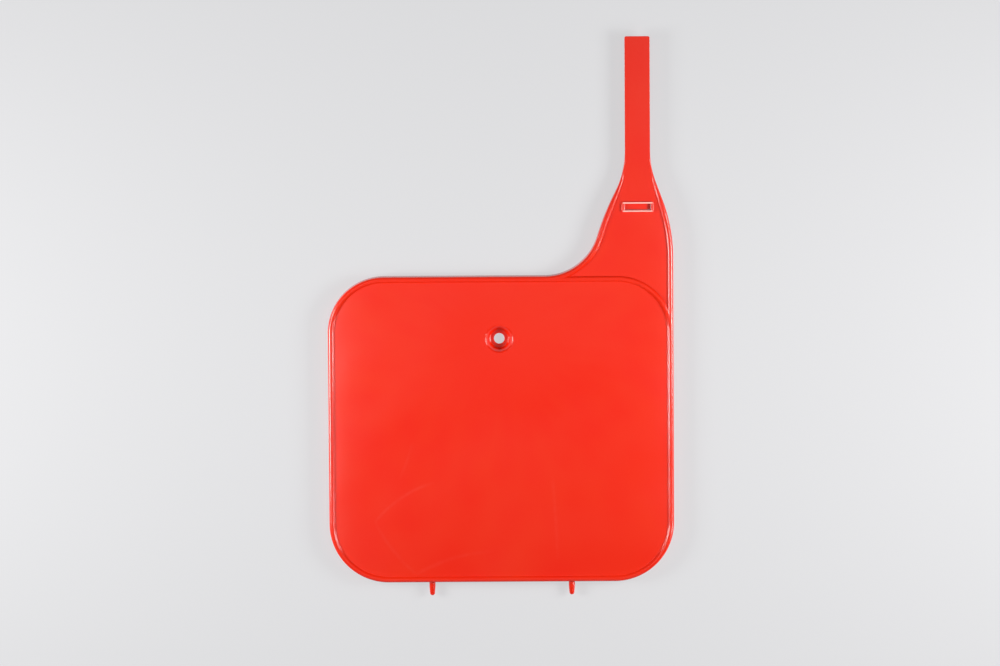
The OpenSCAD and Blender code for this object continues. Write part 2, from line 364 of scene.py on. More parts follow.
@dataclass
class Arm:
    """The arm at the top right, with its two beaded edges and its flat web."""

    panel: Panel
    strap_middle: float = 93.3
    strap_width: float = 17.0
    sweep_radius: float = 37.0
    lean_low: float = 17.0
    lean_high: float = 27.0
    bow_left: float = 190.0
    rise_right: float = 12.0
    lean_right: float = 20.5
    bow_right: float = 112.0
    root_radius: float = 60.0
    taper_rise: float = 20.0
    fade_length: float = 32.0
    fade_stop: float = 10.0
    faded_radius: float = 0.7
    strap_thickness: float = 2.0
    least_wall: float = 0.2
    spacing: float = 1.5
    side_overrun: float = 12.0
    side_steps: int = 24
    bead_steps: int = 18

    # How much smaller than true an edge's section is at its ends, next to its start, and elsewhere, so
    # that no two faces coincide. The second is also how far below the face the faded bead ends
    bury: float = 0.4
    ease: float = 0.02
    shrink: float = 0.004

    # The web's outline: how far before the foot it has come out of the wall, and how it runs on inside
    # the panel's rim, first round the corner in steps of degrees, then through places along X
    shown_stop: float = 1.0
    web_inset: float = 1.4
    hidden_step: int = 4
    hidden_run: tuple[float, ...] = (70.0, 60.0, 50.0, 40.0)

    def __post_init__(self) -> None:
        """Work out the centres of the arcs, each tangent to the next."""
        panel = self.panel
        lean = panel.lean(panel.crest - panel.bead_radius)
        leans = (self.lean_low, self.lean_high, self.lean_right)
        low, high, right = (math.radians(a) for a in leans)
        left_end = self.strap_middle - self.strap_width / 2 - lean
        right_end = self.strap_middle + self.strap_width / 2 + lean
        self.sweep_centre: Plan = (
            left_end
            - self.sweep_radius * math.cos(low)
            - self.bow_left * (math.cos(low) - math.cos(high))
            - self.root_radius * (1 - math.cos(high)),
            panel.top + self.sweep_radius,
        )
        to_bow, to_root = self.sweep_radius + self.bow_left, self.bow_left + self.root_radius
        self.bow_centre: Plan = polar(self.sweep_centre, to_bow, -self.lean_low)
        self.root_centre: Plan = polar(self.bow_centre, to_root, 180 - self.lean_high)
        self.right_bow_centre: Plan = (panel.side - self.bow_right, panel.top + self.rise_right)
        reach = panel.side - right_end - (self.bow_right + self.root_radius) * (1 - math.cos(right))
        line_foot = polar(self.right_bow_centre, self.bow_right, self.lean_right)
        line_top = polar(line_foot, reach / math.sin(right), 90 + self.lean_right)
        self.right_root_centre: Plan = polar(line_top, self.root_radius, self.lean_right)

    @property
    def foot(self) -> float:
        """Height in the plan at which the left edge has become the strap's side."""
        return self.root_centre[1]

    def fade(self, y: float) -> float:
        """Share of the bead's height that has run out at a place along the arm."""
        end = self.foot - self.fade_stop
        return smooth_share(end - self.fade_length, end, y)

    def floor_height(self, y: float) -> float:
        """Height of the wall's rear edge, which rises towards the strap.

        Args:
            y: Place along the arm.

        Returns:
            The height.
        """
        start = self.panel.top + self.taper_rise
        share = min(1.0, max(0.0, (y - start) / (self.foot - start)))
        return share * (self.panel.face - self.strap_thickness)

    def arc(self, centre: Plan, radius: float, start: float, end: float, way: Way) -> EdgePath:
        """Places along an arc, each with the direction into the board.

        Args:
            centre: The arc's centre.
            radius: Its radius.
            start: Bearing at which it starts.
            end: Bearing at which it ends.
            way: Whether the centre lies outside the board or in it.

        Returns:
            Pairs of place and direction.
        """
        count = math.ceil(math.radians(abs(end - start)) * radius / self.spacing)
        bearings = [start + (end - start) * i / count for i in range(count + 1)]
        return [(polar(centre, radius, a), polar((0, 0), way.value, a)) for a in bearings]

    def left_path(self) -> EdgePath:
        """Left edge: sweep, bow and root.

        Returns:
            Pairs of place and direction.
        """
        low, high = 180 - self.lean_low, 180 - self.lean_high
        path = self.arc(self.sweep_centre, self.sweep_radius, -90, -self.lean_low, Way.OUT)
        path += self.arc(self.bow_centre, self.bow_left, low, high, Way.IN)[1:]
        path += self.arc(self.root_centre, self.root_radius, -self.lean_high, 0, Way.OUT)[1:]
        return path

    def right_path(self) -> EdgePath:
        """Right edge from the strap down: root, straight, bow, and the side past the panel's corner.

        Returns:
            Pairs of place and direction.
        """
        panel = self.panel
        path = self.arc(self.right_root_centre, self.root_radius, 180, 180 + self.lean_right, Way.OUT)
        path += self.arc(self.right_bow_centre, self.bow_right, self.lean_right, 0, Way.IN)
        low = panel.top - panel.corner_top - self.side_overrun
        first = self.right_bow_centre[1]
        for i in range(1, self.side_steps + 1):
            path.append(((panel.side, first + (low - first) * i / self.side_steps), (-1.0, 0.0)))
        return path

    def ring(self, place: Plan, inward: Plan, draw_in: float) -> list[Point]:
        """One section of an edge, in space.

        Args:
            place: Where the edge is.
            inward: Direction into the board.
            draw_in: How much smaller than true the section is.

        Returns:
            The section's points.
        """
        panel = self.panel
        faded = self.fade(place[1])
        radius = panel.bead_radius + faded * (self.faded_radius - panel.bead_radius) - draw_in
        middle = panel.crest - faded * (panel.bead_height + self.ease) - draw_in - radius
        across = radius + draw_in + panel.lean(middle)
        hidden = panel.back + panel.thickness / 2
        low = min(self.floor_height(place[1]) + draw_in, hidden - self.least_wall)
        wall = panel.wall - draw_in
        turn = [180 - 180 * i / self.bead_steps for i in range(self.bead_steps + 1)]
        points = [polar((across, middle), radius, bearing) for bearing in turn]
        points += [
            (across + radius / 2, hidden),
            (wall, hidden),
            (wall, low),
            (draw_in + panel.lean(low), low),
        ]
        return [(place[0] + inward[0] * u, place[1] + inward[1] * u, z) for u, z in points]

    def edge(self, name: str, path: EdgePath) -> bpy.types.Object:
        """Wall and bead along a path, with both ends buried in what they run into.

        Args:
            name: Name of the edge.
            path: Its pairs of place and direction.

        Returns:
            The closed mesh.
        """
        last = len(path) - 1
        buried = {0: self.bury, 1: self.ease, last: self.bury}
        rings = [self.ring(p, n, buried.get(i, self.shrink)) for i, (p, n) in enumerate(path)]
        return loft(name, rings)

    def web_side(self, path: EdgePath) -> list[Plan]:
        """Side of the flat web: hidden in the wall, and out to the strap's side at the foot.

        Args:
            path: The edge's pairs of place and direction.

        Returns:
            Places in the plan.
        """
        panel = self.panel
        hidden = panel.wall / 2
        shown = panel.lean(panel.crest - panel.bead_radius)
        places = []
        for (x, y), (nx, ny) in path:
            share = smooth_share(self.foot - self.fade_stop, self.foot - self.shown_stop, y)
            inset = hidden + (shown - hidden) * share
            places.append((x + nx * inset, y + ny * inset))
        return places

    def web(self, reach: float, end_radius: float) -> list[Plan]:
        """Outline of the flat web and the strap in one.

        Args:
            reach: Place of the strap's end.
            end_radius: Radius of its two corners.

        Returns:
            Places in the plan, clockwise from the start of the sweep.
        """
        panel = self.panel
        half = self.strap_width / 2
        outline = self.web_side(self.left_path())
        for side, start in ((-1, 180), (1, 90)):
            centre = (self.strap_middle + side * (half - end_radius), reach - end_radius)
            outline += [polar(centre, end_radius, start - a) for a in QUARTER_TURN]
        corner = (panel.side - panel.corner_top, panel.top - panel.corner_top)
        outline += [q for q in self.web_side(self.right_path()) if q[1] > corner[1]]
        bearings = range(self.hidden_step // 2, 90, self.hidden_step)
        outline += [polar(corner, panel.corner_top - self.web_inset, a) for a in bearings]
        return outline + [(x, panel.top - self.web_inset) for x in self.hidden_run]

    def build(self) -> list[bpy.types.Object]:
        """Both beaded edges, as closed bodies."""
        return [self.edge("arm_left", self.left_path()), self.edge("arm_right", self.right_path())]


@dataclass
class Strap:
    """The flat strap, with locking teeth on its back."""

    arm: Arm
    reach: float = 266.5
    end_radius: float = 1.2
    front_radius: float = 0.4
    front_steps: int = 4
    back_radius: float = 0.25
    back_steps: int = 3
    back_start: float = 4.0

    # How far in height an edge may lie off the front or the back and still belong to it
    level: float = 0.01

    tooth_pitch: float = 4.1
    tooth_count: int = 11
    tooth_height: float = 0.8
    tooth_crest: float = 0.6
    tooth_start: float = 2.2
    tooth_bury: float = 0.06
    tooth_root: float = 0.5

    @property
    def back(self) -> float:
        """Height of the strap's back."""
        return self.arm.panel.face - self.arm.strap_thickness

    def band(self) -> bpy.types.Object:
        """Flat web of the arm and the strap in one, with the strap's long edges rounded.

        Returns:
            The closed mesh.
        """
        arm = self.arm
        top = arm.panel.face
        band = prism("web_and_strap", arm.web(self.reach, self.end_radius), self.back, top)
        free = arm.foot - arm.fade_stop

        def in_front(a: Vector, b: Vector) -> bool:
            """Whether an edge lies in the strap's front."""
            return min(a.z, b.z) > top - self.level and min(a.y, b.y) > free

        def at_back(a: Vector, b: Vector) -> bool:
            """Whether an edge lies in the strap's back."""
            return max(a.z, b.z) < self.back + self.level and min(a.y, b.y) > free + self.back_start

        round_edges(band, self.front_radius, self.front_steps, in_front)
        round_edges(band, self.back_radius, self.back_steps, at_back)
        return band

    def teeth(self) -> bpy.types.Object:
        """Saw teeth, steep towards the arm.

        Returns:
            The closed mesh.
        """
        arm = self.arm
        last = self.reach - self.tooth_start
        first = last - self.tooth_count * self.tooth_pitch
        crest = self.back - self.tooth_height
        valley, root = self.back + self.tooth_bury, self.back + self.tooth_root
        profile: list[Plan] = []
        for i in range(self.tooth_count):
            y = first + i * self.tooth_pitch
            profile += [(y, valley), (y, crest), (y + self.tooth_crest, crest)]
        profile += [(last, valley), (last, root), (first, root)]
        half = arm.strap_width / 2 - self.front_radius
        sides = (arm.strap_middle - half, arm.strap_middle + half)
        return loft("strap_teeth", [[(x, y, z) for y, z in profile] for x in sides])

    def build(self) -> list[bpy.types.Object]:
        """Web, strap and teeth, as closed bodies that overlap."""
        return [self.band(), self.teeth()]


@dataclass
class Buckle:
    """The raised frame at the arm's root, its slot, and the springy tongue in it."""

    arm: Arm
    middle_y: float = 151.0
    slot_height: float = 4.0
    slot_gap: float = 0.3
    side_bar: float = 2.2
    cross_bar: float = 1.65
    rise: float = 1.2
    edge_radius: float = 0.7
    corner_radius: float = 0.35
    corner_growth: float = 0.6
    collar: float = 1.4
    rear_break: float = 0.3

    # The opening's cutter: how far its sides lie inside the surround, and how far it reaches past it
    cut_inset: float = 0.9
    cut_over: float = 3.0

    tongue_thickness: float = 1.0
    tongue_gap: float = 0.12
    tongue_step: float = 1.6
    tongue_step_width: float = 2.0
    tongue_overlap: float = 0.3
    tongue_drop: float = 1.35
    tongue_rise: float = 0.4
    tongue_bury: float = 0.5

    # Rounded nose of the tongue: distances back from its tip and below it
    tongue_nose: tuple[Plan, ...] = ((0.25, 0.1), (0.06, 0.2), (0.0, 0.35))

    @property
    def slot_width(self) -> float:
        """Clear width of the slot."""
        return self.arm.strap_width + 2 * self.slot_gap

    @property
    def front(self) -> float:
        """Height of the frame's front."""
        return self.arm.panel.face + self.rise

    def loop(self, out_x: float, out_y: float, height: float) -> list[Point]:
        """Rounded rectangle round the slot.

        Args:
            out_x: Distance outside the slot's wall along X.
            out_y: The same along Y.
            height: Height of the loop.

        Returns:
            Its points in order.
        """
        radius = self.corner_radius + min(out_x, out_y) * self.corner_growth
        half_w, half_h = self.slot_width / 2 + out_x - radius, self.slot_height / 2 + out_y - radius
        places: list[Point] = []
        for start, sx, sy in CORNERS:
            centre = (self.arm.strap_middle + sx * half_w, self.middle_y + sy * half_h)
            places += [(*polar(centre, radius, start + a), height) for a in QUARTER_TURN]
        return places

    def surround(self) -> bpy.types.Object:
        """Frame in front of the arm and collar behind it: one bar bent round the slot.

        Returns:
            The closed mesh.
        """
        arm = self.arm
        front, rear = self.front, arm.panel.back - self.collar
        waist = arm.panel.face - arm.strap_thickness / 2
        side, cross = self.side_bar, self.cross_bar
        soft, small = self.edge_radius, self.rear_break
        bearings = [math.radians(a) for a in QUARTER_TURN]
        turn = [(soft - soft * math.cos(a), front - soft + soft * math.sin(a)) for a in bearings]
        section = [(u, u, z) for u, z in turn]
        section += [(side - u, cross - u, z) for u, z in turn[::-1]]
        section += [(side, cross, z) for z in (waist, rear + small)]
        section += [(side - small, cross - small, rear), (small, small, rear)]
        section += [(0.0, 0.0, rear + small), (0.0, 0.0, waist), section[0]]
        return loft("slot_surround", [self.loop(*place) for place in section])

    def opening(self) -> bpy.types.Object:
        """Cutter of the opening in the web, whose sides end inside the surround.

        Returns:
            The closed mesh.
        """
        web_back = self.arm.panel.face - self.arm.strap_thickness
        heights = (web_back - self.cut_over, self.front + self.cut_over)
        return loft("slot_cutter", [self.loop(self.cut_inset, self.cut_inset, z) for z in heights])

    def tongue_part(self, name: str, left: float, right: float, drop: float) -> bpy.types.Object:
        """One strip of the tongue, which leans forward from the slot's upper wall.

        Args:
            name: Name of the strip.
            left: Where it starts, counted from the strap's middle.
            right: Where it ends.
            drop: Distance of its tip below the front of the frame.

        Returns:
            The closed mesh.
        """
        tip = self.front - drop
        root = tip - self.tongue_rise
        root_y = self.middle_y + self.slot_height / 2
        tip_y = self.middle_y - self.slot_height / 2 + self.tongue_gap
        thick = self.tongue_thickness
        profile = [(root_y + self.tongue_bury, root), (root_y, root)]
        profile += [(tip_y + u, tip - v) for u, v in self.tongue_nose]
        profile += [(tip_y, tip - thick), (root_y, root - thick)]
        profile += [(root_y + self.tongue_bury, root - thick)]
        middle = self.arm.strap_middle
        return loft(name, [[(middle + x, y, z) for y, z in profile] for x in (left, right)])

    def tongue(self) -> list[bpy.types.Object]:
        """Tongue in the slot: its main strip, and a lower one at the right.

        Returns:
            Both strips, as closed bodies that overlap.
        """
        half = self.slot_width / 2 - self.tongue_gap
        edge = half - self.tongue_step_width
        start, drop = edge - self.tongue_overlap, self.tongue_drop + self.tongue_step
        return [
            self.tongue_part("tongue_main", -half, edge, self.tongue_drop),
            self.tongue_part("tongue_low", start, half, drop),
        ]


@dataclass
class BoltDish:
    """The dished seat of the bolt, its cone behind the face and its hole."""

    panel: Panel
    rise: float = 61.7
    shift: float = 1.0
    hole: float = 7.2
    mouth: float = 17.8
    floor: float = 12.6
    floor_height: float = 2.2
    wall: float = 2.0

    # Lip and toe: radius, how far off the upright the curve leans at its flat end, and steps
    lip: float = 1.8
    lip_level: float = 82.0
    lip_steps: int = 10
    lip_out: float = 4.0
    toe: float = 1.1
    toe_level: float = 86.0
    toe_steps: int = 8
    core: float = 1.5

    # Cone behind the face: its broken edge, how far it goes into the face, the heights of its rings, and
    # its blend into the face, each ring as height on the cone, distance out from it and height
    boss_edge: float = 0.25
    boss_bury: float = 1.0
    boss_rings: tuple[float, ...] = (1.5, 3.0, 4.5)
    boss_blend: tuple[Point, ...] = ((5.2, 0.15, 5.3), (5.6, 0.7, 5.84))

    # Breaks at the hole's two ends, and how far the cutter reaches past them
    back_break: float = 0.2
    back_over: float = 1.0
    front_break: float = 0.35
    front_over: float = 1.2

    @property
    def centre(self) -> Plan:
        """Place of the bolt hole in the plan."""
        return (-self.shift, self.rise)

    @property
    def slope(self) -> float:
        """Slope of the dish's wall off the upright, in degrees."""
        depth = self.panel.face - self.floor_height
        return math.degrees(math.atan((self.mouth - self.floor) / 2 / depth))

    def hollow(self) -> bpy.types.Object:
        """Cutter of the dish: flat floor, curve, sloped wall and rounded lip.

        Returns:
            The closed mesh.
        """
        slope = self.slope
        tangent = self.lip * math.tan(math.radians((90 - slope) / 2))
        lip_centre = (self.mouth / 2 + tangent, self.panel.face - self.lip)
        toe_centre = (self.floor / 2 - self.toe * tangent / self.lip, self.floor_height + self.toe)
        toe_turn = (self.toe_level - slope) / self.toe_steps
        toe = [
            polar(toe_centre, self.toe, toe_turn * i - self.toe_level) for i in range(self.toe_steps + 1)
        ]
        lip_turn = (self.lip_level - slope) / self.lip_steps
        lip = [
            polar(lip_centre, self.lip, 180 - slope - lip_turn * i) for i in range(self.lip_steps + 1)
        ]
        out = polar(lip[-1], self.lip_out, 90 - self.lip_level)
        return lathe("dish_cutter", self.centre, [(self.core, self.floor_height), *toe, *lip, out])

    def boss(self) -> bpy.types.Object:
        """Cone behind the face, level with the rim's rear edge and blended into the face.

        Returns:
            The closed mesh.
        """
        slope = math.radians(self.slope)
        spread, edge = math.tan(slope), self.boss_edge
        foot = self.floor / 2 + self.wall / math.cos(slope) - self.floor_height * spread
        top = self.panel.back + self.boss_bury
        profile = [(foot - 2 * edge, 0.0), (foot - edge, 0.0), (foot, edge)]
        profile += [(foot + spread * z, z) for z in self.boss_rings]
        profile += [(foot + spread * cone + out, z) for cone, out, z in self.boss_blend]
        profile += [(foot + spread * top, top)]
        return lathe("dish_boss", self.centre, profile)

    def bolt_hole(self) -> bpy.types.Object:
        """Cutter of the bolt hole, with a small break at each end.

        Returns:
            The closed mesh.
        """
        radius, top = self.hole / 2, self.floor_height
        profile = [
            (radius + self.back_break + self.back_over, -self.back_over),
            (radius, self.back_break),
            (radius, top - self.front_break),
            (radius + self.front_break + self.front_over, top + self.front_over),
        ]
        return lathe("hole_cutter", self.centre, profile)


@dataclass
class Peg:
    """A locating peg below the panel and the rib that carries it."""

    panel: Panel
    x: float
    length: float = 9.2
    root: float = 4.2
    straight: float = 3.0
    tip: float = 3.4

    # Flare at the root: its size, and its section in shares of that, outwards and into the panel
    flare: float = 0.4
    flare_curve: tuple[Plan, ...] = (
        (1.7, 1.4),
        (1.6, 0.6),
        (1.0, 0.0),
        (0.5, -0.4),
        (0.15, -0.85),
        (0.0, -1.4),
    )

    tip_bearings: tuple[int, ...] = (0, 12, 24, 36, 48, 60, 70, 80)
    steps: int = 40
    rib_length: float = 15.0
    rib_thickness: float = 2.0
    rib_bury: float = 0.5

    def pin(self) -> bpy.types.Object:
        """Flared and straight root, taper and round tip.

        Returns:
            The closed mesh.
        """
        height = self.panel.face / 2
        tip_radius = self.tip / 2
        base = -self.panel.top
        root = self.root / 2
        profile = [(root + self.flare * u, base + self.flare * v) for u, v in self.flare_curve]
        profile += [(root, base - self.straight)]
        profile += [polar((0, base - self.length + tip_radius), tip_radius, -a) for a in self.tip_bearings]
        rings = []
        for radius, y in profile:
            ring = [polar((self.x, height), radius, 360 * i / self.steps) for i in range(self.steps)]
            rings.append([(x, y, z) for x, z in ring])
        return loft("peg", rings)

    def rib(self) -> bpy.types.Object:
        """Three-cornered rib behind the face.

        Returns:
            The closed mesh.
        """
        panel = self.panel
        wall = panel.wall / 2 - panel.top
        end = wall + self.rib_length
        low = (panel.face - self.root) / 2
        top = panel.back + self.rib_bury
        profile = [(wall, low), (end, panel.back), (end, top), (wall, top)]
        half = self.rib_thickness / 2
        return loft("peg_rib", [[(self.x + s * half, y, z) for y, z in profile] for s in (-1, 1)])

    def build(self) -> list[bpy.types.Object]:
        """Pin and rib, as closed bodies that overlap."""
        return [self.pin(), self.rib()]


@dataclass
class NumberBoard:
    """The whole board: all its forms joined into one moulding."""

    panel: Panel = field(default_factory=Panel)
    peg_spacing: float = 95.0
    flat_angle: float = 32.0

    def __post_init__(self) -> None:
        """Hang the other forms on the panel."""
        self.arm = Arm(self.panel)
        self.strap = Strap(self.arm)
        self.buckle = Buckle(self.arm)
        self.dish = BoltDish(self.panel)
        self.pegs = [Peg(self.panel, side * self.peg_spacing / 2) for side in (-1, 1)]

    @property
    def plan_shift(self) -> float:
        """Distance along Y that brings the whole board's middle to the origin."""
        return (self.pegs[0].length - (self.strap.reach - self.panel.top)) / 2

    def flat_arm(self) -> bpy.types.Object:
        """Web and strap with the teeth, the slot's frame, the slot and its tongue.

        Returns:
            The closed mesh.
        """
        flat, teeth = self.strap.build()
        combine(flat, teeth, Change.JOIN)
        combine(flat, self.buckle.opening(), Change.CUT)
        combine(flat, self.buckle.surround(), Change.JOIN)
        for strip in self.buckle.tongue():
            combine(flat, strip, Change.JOIN)
        return flat

    def steps(self) -> Iterable[tuple[bpy.types.Object, Change]]:
        """Make every body that is joined to the panel's tray or cut from it, one after the other.

        Returns:
            Each body with what it does to the tray.
        """
        yield self.dish.boss(), Change.JOIN
        for peg in self.pegs:
            for body in peg.build():
                yield body, Change.JOIN
        yield self.dish.hollow(), Change.CUT
        yield self.dish.bolt_hole(), Change.CUT
        for body in self.arm.build():
            yield body, Change.JOIN
        yield self.flat_arm(), Change.JOIN

    def build(self) -> bpy.types.Object:
        """Join and cut the forms, then bring the board to its place in metres.

        Returns:
            The finished mesh, at the origin.
        """
        board = self.panel.build()
        for body, how in self.steps():
            name = body.name
            combine(board, body, how)
            log.info("%s %s: %d faces", how.value.lower(), name, len(board.data.polygons))
        board.data.transform(Matrix.Translation((0, self.plan_shift, 0)))
        board.data.transform(Matrix.Scale(MM, 4))
        self.shade(board)
        return board

    def shade(self, board: bpy.types.Object) -> None:
        """Shade the round forms smooth and keep the flat ones flat.

        Args:
            board: The finished mesh.
        """
        choose_only(board)
        bpy.ops.object.shade_smooth_by_angle(angle=math.radians(self.flat_angle))
        weigh = board.modifiers.new("flat_first", "WEIGHTED_NORMAL")
        weigh.keep_sharp = True
        bpy.ops.object.modifier_apply(modifier=weigh.name)


# Finishes


class Kind(Enum):
    """Kinds of node that the finishes are made of."""

    MATH = "ShaderNodeMath"
    RANGE = "ShaderNodeMapRange"
    NOISE = "ShaderNodeTexNoise"
    MIX = "ShaderNodeMix"
    DISTANCE = "ShaderNodeVectorMath"
    COMBINE = "ShaderNodeCombineXYZ"
    SPLIT = "ShaderNodeSeparateXYZ"
    PLACE = "ShaderNodeTexCoord"
    MAPPING = "ShaderNodeMapping"
    BUMP = "ShaderNodeBump"
    SURFACE = "ShaderNodeBsdfPrincipled"
    GLOW = "ShaderNodeEmission"
    RAYS = "ShaderNodeLightPath"
    MIX_SURFACES = "ShaderNodeMixShader"
    OUTPUT = "ShaderNodeOutputMaterial"


PLUS = {"operation": "ADD"}
PLUS_UP_TO_ONE = {"operation": "ADD", "use_clamp": True}
MINUS = {"operation": "SUBTRACT"}
TIMES = {"operation": "MULTIPLY"}
OVER = {"operation": "DIVIDE"}
POWER = {"operation": "POWER"}
SINE = {"operation": "SINE"}
BEARING = {"operation": "ARCTAN2"}
LARGER = {"operation": "MAXIMUM"}
UNSIGNED = {"operation": "ABSOLUTE"}
APART = {"operation": "DISTANCE"}
FLAT = {"noise_dimensions": "2D"}
SOFT = {"interpolation_type": "SMOOTHSTEP"}
COLOUR = {"data_type": "RGBA"}


@dataclass
class Finish:
    """Base of a procedural finish: a node tree that is filled from code."""

    name: str
    material: bpy.types.Material = field(init=False)

    def __post_init__(self) -> None:
        """Make the empty material."""
        self.material = bpy.data.materials.new(self.name)
        self.material.use_nodes = True
        self.material.node_tree.nodes.clear()

    def add(self, kind: Kind, settings: dict, *values: object, **named: object) -> bpy.types.Node:
        """Add a node with its settings, its values and its links.

        Args:
            kind: Kind of node.
            settings: Node properties by name.
            *values: Values, sockets or nodes for the inputs that the node shows, in their order.
            **named: The same by the input's name, in lower case and with underscores.

        Returns:
            The new node, which as a value stands for the first output that it shows.
        """
        tree = self.material.node_tree
        node = tree.nodes.new(kind.value)
        for key, value in settings.items():
            setattr(node, key, value)
        shown = [socket for socket in node.inputs if socket.enabled]
        by_name = {socket.name.lower().replace(" ", "_"): socket for socket in shown}
        pairs = [*zip(shown, values), *((by_name[key], value) for key, value in named.items())]
        for socket, value in pairs:
            if isinstance(value, bpy.types.Node):
                value = next(output for output in value.outputs if output.enabled)
            if isinstance(value, bpy.types.NodeSocket):
                tree.links.new(value, socket)
            else:
                socket.default_value = value
        return node


@dataclass(frozen=True)
class Pattern:
    """An uneven pattern: its size in millimetres, how rich it is, and its height in millimetres."""

    size: float
    detail: float
    height: float = 0.0


@dataclass(frozen=True)
class SideFall:
    """The face's fall towards a side bead: which side, how deep and how far in, in millimetres."""

    side: int
    depth: float
    reach: float


@dataclass(frozen=True)
class BarRubAndHighlight:
    """Rub and painted highlight on two bars of the slot's frame, in millimetres, and its share of the pale
    colour.

    It starts a distance outside the slot's wall, stops one inside the bar's outer side, and runs on
    past the slot's corner.
    """

    outside: float
    inside: float
    soft: float
    past: float
    end_soft: float
    share: float


@dataclass(frozen=True)
class Scuff:
    """A faint rub mark: an arc through three places in the panel's plan, in millimetres."""

    start: Plan
    middle: Plan
    end: Plan
    width: float
    strength: float

    def circle(self) -> tuple[Plan, float]:
        """Work out the circle through the three places.

        Returns:
            Its centre and its radius.
        """
        (ax, ay), (bx, by), (cx, cy) = self.start, self.middle, self.end
        d = 2 * (ax * (by - cy) + bx * (cy - ay) + cx * (ay - by))
        a2, b2, c2 = ax * ax + ay * ay, bx * bx + by * by, cx * cx + cy * cy
        ux = (a2 * (by - cy) + b2 * (cy - ay) + c2 * (ay - by)) / d
        uy = (a2 * (cx - bx) + b2 * (ax - cx) + c2 * (bx - ax)) / d
        return (ux, uy), math.hypot(ax - ux, ay - uy)

    def reach(self, axis: int) -> tuple[float, float]:
        """Lowest and highest of the three places along X (0) or Y (1)."""
        places = sorted(place[axis] for place in (self.start, self.middle, self.end))
        return places[0], places[-1]


